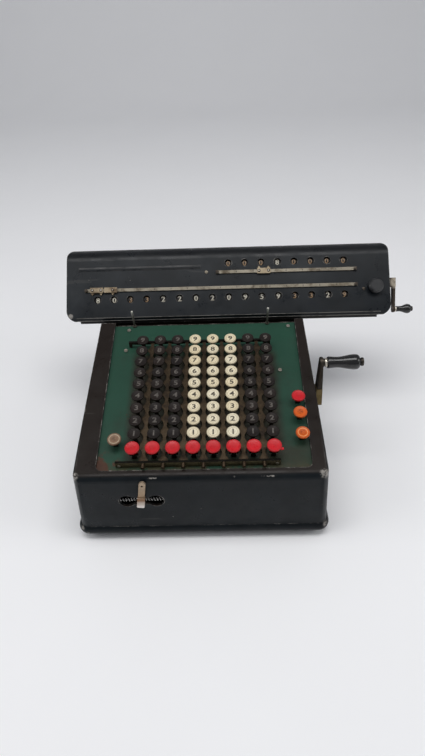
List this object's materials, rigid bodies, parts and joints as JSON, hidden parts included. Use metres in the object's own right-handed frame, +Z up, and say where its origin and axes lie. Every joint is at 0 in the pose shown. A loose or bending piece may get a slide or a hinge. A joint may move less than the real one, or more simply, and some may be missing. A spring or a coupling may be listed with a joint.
{
  "type": "calculating machine",
  "caption": "Crank-driven desk calculating machine: sloping full keyboard in a black case, with a sliding carriage of number dials behind it.",
  "frame": {"origin": "on the table under the middle of the case", "axes": "+X to the operator's right along the carriage, +Y to the back, +Z up"},
  "size_m": [0.4015, 0.2851, 0.1908],
  "materials": {
    "case_black": "worn glossy black japan",
    "carriage_black": "glossy black japan",
    "base_black": "dull black paint",
    "plate_green": "satin green paint with rust at the edges",
    "plain_steel": "oiled steel",
    "nickel": "worn nickel plate",
    "pointer_nickel": "tarnished nickel plate",
    "marker_bronze": "dark tarnished brass",
    "gear_brass": "dull brass",
    "hub_brass": "tarnished brass",
    "crank_steel": "blackened steel",
    "spring_steel": "bright wire",
    "foot_rubber": "black rubber",
    "key_cream": "aged ivory-coloured celluloid",
    "key_black": "dull black celluloid",
    "key_red": "glossy red celluloid",
    "key_orange": "glossy orange celluloid",
    "key_tan": "worn pale celluloid",
    "handle_black": "polished black",
    "knob_black": "dull black",
    "dial_black": "black enamel with pale figures"
  },
  "bodies": {
    "machine": {"base_pan": "base_black", "case_shell": "case_black", "keyboard_plate": "plate_green", "key_guide_plate": "plain_steel", "marker_bars": "marker_bronze", "side_frames": "plain_steel", "frame_tie_rods": "plain_steel", "carriage_tracks": "plain_steel", "guide_posts": "nickel", "rubber_feet": "foot_rubber", "case_screws": "nickel", "shift_spring": "spring_steel"},
    "digit_keys_1": {"digit_keys_1": "key_black"},
    "digit_keys_2": {"digit_keys_2": "key_black"},
    "digit_keys_3": {"digit_keys_3": "key_black"},
    "digit_keys_4": {"digit_keys_4": "key_cream"},
    "digit_keys_5": {"digit_keys_5": "key_cream"},
    "digit_keys_6": {"digit_keys_6": "key_cream"},
    "digit_keys_7": {"digit_keys_7": "key_black"},
    "digit_keys_8": {"digit_keys_8": "key_black"},
    "clear_key_1": {"clear_key_1": "key_red"},
    "clear_key_2": {"clear_key_2": "key_red"},
    "clear_key_3": {"clear_key_3": "key_red"},
    "clear_key_4": {"clear_key_4": "key_red"},
    "clear_key_5": {"clear_key_5": "key_red"},
    "clear_key_6": {"clear_key_6": "key_red"},
    "clear_key_7": {"clear_key_7": "key_red"},
    "clear_key_8": {"clear_key_8": "key_red"},
    "red_key": {"red_key": "key_red"},
    "rear_orange_key": {"rear_orange_key": "key_orange"},
    "front_orange_key": {"front_orange_key": "key_orange"},
    "tan_key": {"tan_key": "key_tan"},
    "decimal_marker_1": {"decimal_marker_1": "marker_bronze"},
    "decimal_marker_2": {"decimal_marker_2": "marker_bronze"},
    "decimal_marker_3": {"decimal_marker_3": "marker_bronze"},
    "decimal_marker_4": {"decimal_marker_4": "marker_bronze"},
    "decimal_marker_5": {"decimal_marker_5": "marker_bronze"},
    "decimal_marker_6": {"decimal_marker_6": "marker_bronze"},
    "decimal_marker_7": {"decimal_marker_7": "marker_bronze"},
    "main_crank": {"crank_shaft": "plain_steel", "drive_gear": "gear_brass", "crank_hub": "hub_brass", "crank_arm": "crank_steel"},
    "main_handle": {"crank_handle": "handle_black"},
    "drums": {"drum_shaft": "plain_steel", "drum_gear": "gear_brass", "stepped_drums": "plain_steel"},
    "shift_lever": {"shift_lever": "nickel"},
    "carriage": {"carriage_cover": "carriage_black", "carriage_frame": "plain_steel", "decimal_rails": "nickel", "dial_shafts": "plain_steel", "carriage_knob": "knob_black"},
    "lower_pointers": {"lower_pointers": "pointer_nickel"},
    "upper_pointer": {"upper_pointer": "pointer_nickel"},
    "lower_dials": {"lower_dials": "dial_black"},
    "upper_dials": {"upper_dials": "dial_black"},
    "clear_crank": {"clear_shaft": "plain_steel", "clear_crank_arm": "nickel"},
    "clear_grip": {"clear_handle": "handle_black"}
  },
  "joints": [
    {"name": "digit_keys_1_press", "type": "slide", "parent": "machine", "child": "digit_keys_1", "axis": [0, 0.2079, -0.9781], "range_m": [0, 0.004], "stiffness_N_per_m": 300, "springref_m": -0.006},
    {"name": "digit_keys_2_press", "type": "slide", "parent": "machine", "child": "digit_keys_2", "axis": [0, 0.2079, -0.9781], "range_m": [0, 0.004], "stiffness_N_per_m": 300, "springref_m": -0.006},
    {"name": "digit_keys_3_press", "type": "slide", "parent": "machine", "child": "digit_keys_3", "axis": [0, 0.2079, -0.9781], "range_m": [0, 0.004], "stiffness_N_per_m": 300, "springref_m": -0.006},
    {"name": "digit_keys_4_press", "type": "slide", "parent": "machine", "child": "digit_keys_4", "axis": [0, 0.2079, -0.9781], "range_m": [0, 0.004], "stiffness_N_per_m": 300, "springref_m": -0.006},
    {"name": "digit_keys_5_press", "type": "slide", "parent": "machine", "child": "digit_keys_5", "axis": [0, 0.2079, -0.9781], "range_m": [0, 0.004], "stiffness_N_per_m": 300, "springref_m": -0.006},
    {"name": "digit_keys_6_press", "type": "slide", "parent": "machine", "child": "digit_keys_6", "axis": [0, 0.2079, -0.9781], "range_m": [0, 0.004], "stiffness_N_per_m": 300, "springref_m": -0.006},
    {"name": "digit_keys_7_press", "type": "slide", "parent": "machine", "child": "digit_keys_7", "axis": [0, 0.2079, -0.9781], "range_m": [0, 0.004], "stiffness_N_per_m": 300, "springref_m": -0.006},
    {"name": "digit_keys_8_press", "type": "slide", "parent": "machine", "child": "digit_keys_8", "axis": [0, 0.2079, -0.9781], "range_m": [0, 0.004], "stiffness_N_per_m": 300, "springref_m": -0.006},
    {"name": "clear_key_1_press", "type": "slide", "parent": "machine", "child": "clear_key_1", "axis": [0, 0.2079, -0.9781], "range_m": [0, 0.004], "stiffness_N_per_m": 150, "springref_m": -0.005},
    {"name": "clear_key_2_press", "type": "slide", "parent": "machine", "child": "clear_key_2", "axis": [0, 0.2079, -0.9781], "range_m": [0, 0.004], "stiffness_N_per_m": 150, "springref_m": -0.005},
    {"name": "clear_key_3_press", "type": "slide", "parent": "machine", "child": "clear_key_3", "axis": [0, 0.2079, -0.9781], "range_m": [0, 0.004], "stiffness_N_per_m": 150, "springref_m": -0.005},
    {"name": "clear_key_4_press", "type": "slide", "parent": "machine", "child": "clear_key_4", "axis": [0, 0.2079, -0.9781], "range_m": [0, 0.004], "stiffness_N_per_m": 150, "springref_m": -0.005},
    {"name": "clear_key_5_press", "type": "slide", "parent": "machine", "child": "clear_key_5", "axis": [0, 0.2079, -0.9781], "range_m": [0, 0.004], "stiffness_N_per_m": 150, "springref_m": -0.005},
    {"name": "clear_key_6_press", "type": "slide", "parent": "machine", "child": "clear_key_6", "axis": [0, 0.2079, -0.9781], "range_m": [0, 0.004], "stiffness_N_per_m": 150, "springref_m": -0.005},
    {"name": "clear_key_7_press", "type": "slide", "parent": "machine", "child": "clear_key_7", "axis": [0, 0.2079, -0.9781], "range_m": [0, 0.004], "stiffness_N_per_m": 150, "springref_m": -0.005},
    {"name": "clear_key_8_press", "type": "slide", "parent": "machine", "child": "clear_key_8", "axis": [0, 0.2079, -0.9781], "range_m": [0, 0.004], "stiffness_N_per_m": 150, "springref_m": -0.005},
    {"name": "red_key_press", "type": "slide", "parent": "machine", "child": "red_key", "axis": [0, 0.2079, -0.9781], "range_m": [0, 0.004], "stiffness_N_per_m": 150, "springref_m": -0.005},
    {"name": "rear_orange_key_press", "type": "slide", "parent": "machine", "child": "rear_orange_key", "axis": [0, 0.2079, -0.9781], "range_m": [0, 0.004], "stiffness_N_per_m": 150, "springref_m": -0.005},
    {"name": "front_orange_key_press", "type": "slide", "parent": "machine", "child": "front_orange_key", "axis": [0, 0.2079, -0.9781], "range_m": [0, 0.004], "stiffness_N_per_m": 150, "springref_m": -0.005},
    {"name": "tan_key_press", "type": "slide", "parent": "machine", "child": "tan_key", "axis": [0, 0.2079, -0.9781], "range_m": [0, 0.004], "stiffness_N_per_m": 150, "springref_m": -0.005},
    {"name": "decimal_marker_1_turn", "type": "hinge", "parent": "machine", "child": "decimal_marker_1", "pos_m": [-0.05375, -0.09792, 0.10491], "axis": [0, 0.9781, 0.2079], "range_deg": [0, 180]},
    {"name": "decimal_marker_2_turn", "type": "hinge", "parent": "machine", "child": "decimal_marker_2", "pos_m": [-0.0347, -0.09792, 0.10491], "axis": [0, 0.9781, 0.2079], "range_deg": [0, 180]},
    {"name": "decimal_marker_3_turn", "type": "hinge", "parent": "machine", "child": "decimal_marker_3", "pos_m": [-0.01565, -0.09792, 0.10491], "axis": [0, 0.9781, 0.2079], "range_deg": [0, 180]},
    {"name": "decimal_marker_4_turn", "type": "hinge", "parent": "machine", "child": "decimal_marker_4", "pos_m": [0.0034, -0.09792, 0.10491], "axis": [0, 0.9781, 0.2079], "range_deg": [0, 180]},
    {"name": "decimal_marker_5_turn", "type": "hinge", "parent": "machine", "child": "decimal_marker_5", "pos_m": [0.02245, -0.09792, 0.10491], "axis": [0, 0.9781, 0.2079], "range_deg": [0, 180]},
    {"name": "decimal_marker_6_turn", "type": "hinge", "parent": "machine", "child": "decimal_marker_6", "pos_m": [0.0415, -0.09792, 0.10491], "axis": [0, 0.9781, 0.2079], "range_deg": [0, 180]},
    {"name": "decimal_marker_7_turn", "type": "hinge", "parent": "machine", "child": "decimal_marker_7", "pos_m": [0.06055, -0.09792, 0.10491], "axis": [0, 0.9781, 0.2079], "range_deg": [0, 180]},
    {"name": "main_crank_turn", "type": "hinge", "parent": "machine", "child": "main_crank", "pos_m": [0.1211, -0.031, 0.094], "axis": [1, 0, 0], "continuous": true},
    {"name": "main_handle_spin", "type": "hinge", "parent": "main_crank", "child": "main_handle", "pos_m": [0.1411, -0.02008, 0.13207], "axis": [1, 0, 0], "continuous": true},
    {"name": "drums_turn", "type": "hinge", "parent": "machine", "child": "drums", "pos_m": [0, -0.01364, 0.07332], "axis": [1, 0, 0], "continuous": true},
    {"name": "shift_lever_swing", "type": "hinge", "parent": "machine", "child": "shift_lever", "pos_m": [-0.0648, -0.126, 0.017], "axis": [0, 1, 0], "range_deg": [-12, 10], "stiffness_Nm_per_rad": 0.3},
    {"name": "carriage_shift", "type": "slide", "parent": "machine", "child": "carriage", "axis": [1, 0, 0], "range_m": [-0.09525, 0.05715]},
    {"name": "lower_pointers_slide", "type": "slide", "parent": "carriage", "child": "lower_pointers", "axis": [1, 0, 0], "range_m": [-0.002, 0.272]},
    {"name": "upper_pointer_slide", "type": "slide", "parent": "carriage", "child": "upper_pointer", "axis": [1, 0, 0], "range_m": [-0.0435, 0.095]},
    {"name": "lower_dials_turn", "type": "hinge", "parent": "carriage", "child": "lower_dials", "pos_m": [-0.12043, 0.08851, 0.14344], "axis": [1, 0, 0], "continuous": true},
    {"name": "upper_dials_turn", "type": "hinge", "parent": "carriage", "child": "upper_dials", "pos_m": [-0.12043, 0.11718, 0.17162], "axis": [1, 0, 0], "continuous": true},
    {"name": "clear_crank_turn", "type": "hinge", "parent": "carriage", "child": "clear_crank", "pos_m": [0.21793, 0.0925, 0.1585], "axis": [1, 0, 0], "continuous": true},
    {"name": "clear_handle_spin", "type": "hinge", "parent": "clear_crank", "child": "clear_grip", "pos_m": [0.22792, 0.07501, 0.13352], "axis": [1, 0, 0], "continuous": true}
  ],
  "couplings": [
    {"joint": "drums_turn", "follows": "main_crank_turn", "ratio": -1}
  ]
}
